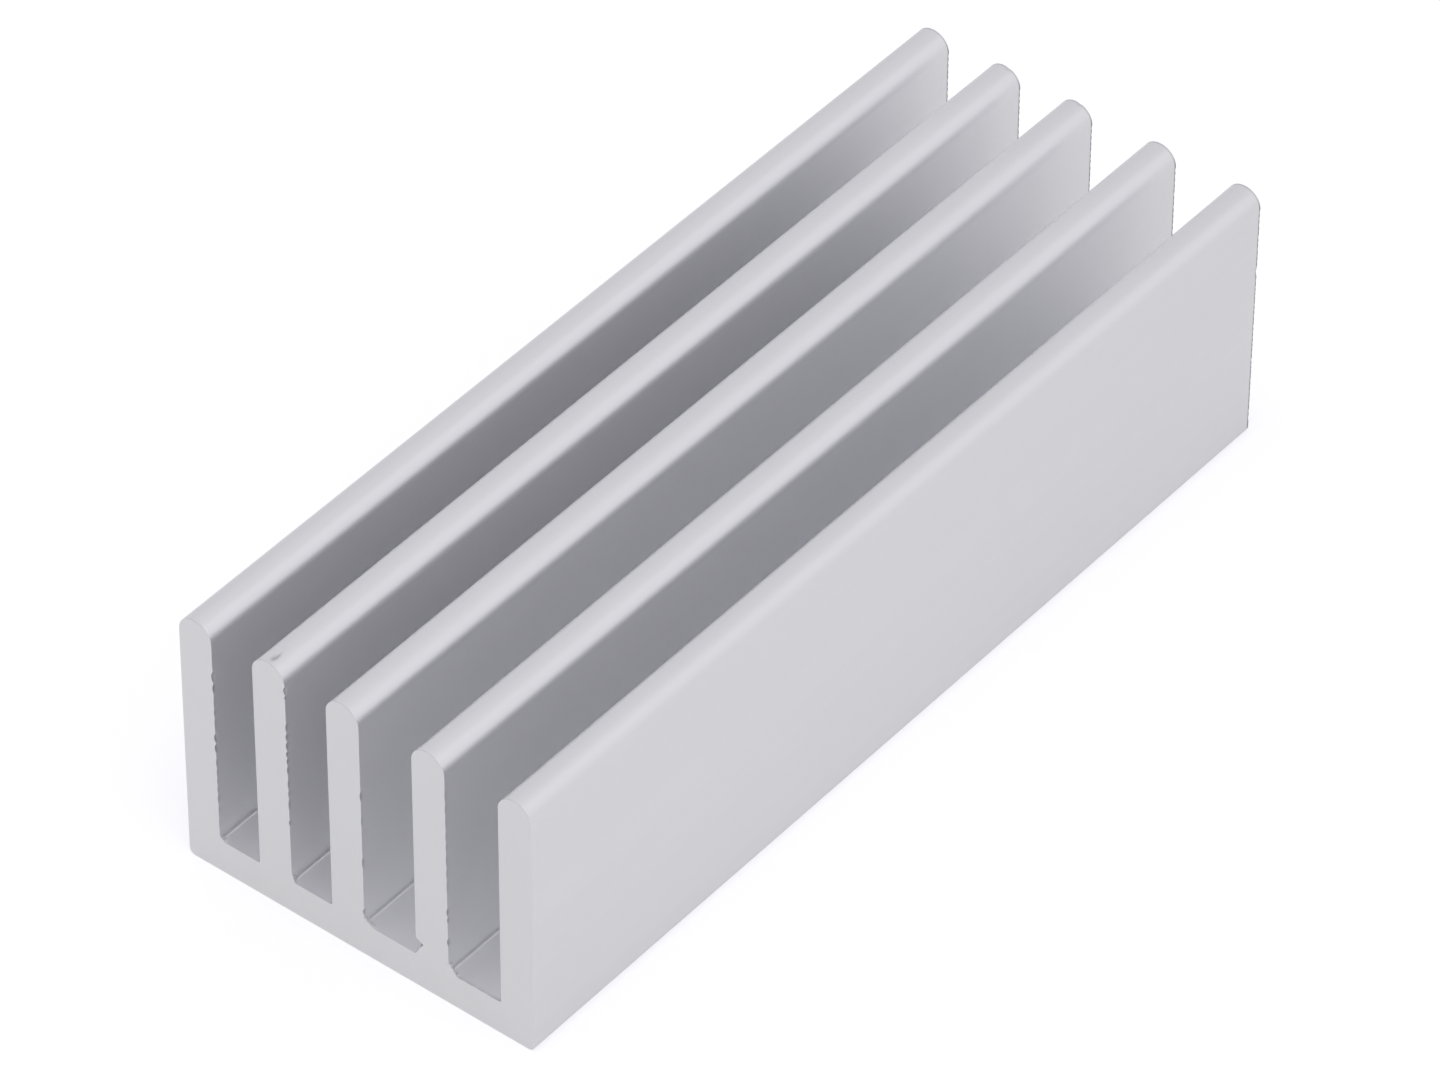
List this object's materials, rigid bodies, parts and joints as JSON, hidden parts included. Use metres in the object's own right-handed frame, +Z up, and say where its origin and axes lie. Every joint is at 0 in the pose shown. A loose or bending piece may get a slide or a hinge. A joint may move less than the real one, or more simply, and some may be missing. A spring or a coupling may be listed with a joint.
{
  "type": "extruded heat sink",
  "caption": "Straight extruded heat sink: a flat base plate with upright round-tipped fins along its whole length, cut square at both ends.",
  "frame": {"origin": "centre of the underside", "axes": "+Z up from the underside towards the fin tips, +Y along the fins, +X across them, from the closely spaced fins to the widely spaced ones"},
  "size_m": [0.0284, 0.075, 0.0208],
  "materials": {
    "aluminium": "matte, as extruded, with sawn ends"
  },
  "bodies": {
    "root": {"heat_sink": "aluminium"}
  },
  "joints": []
}
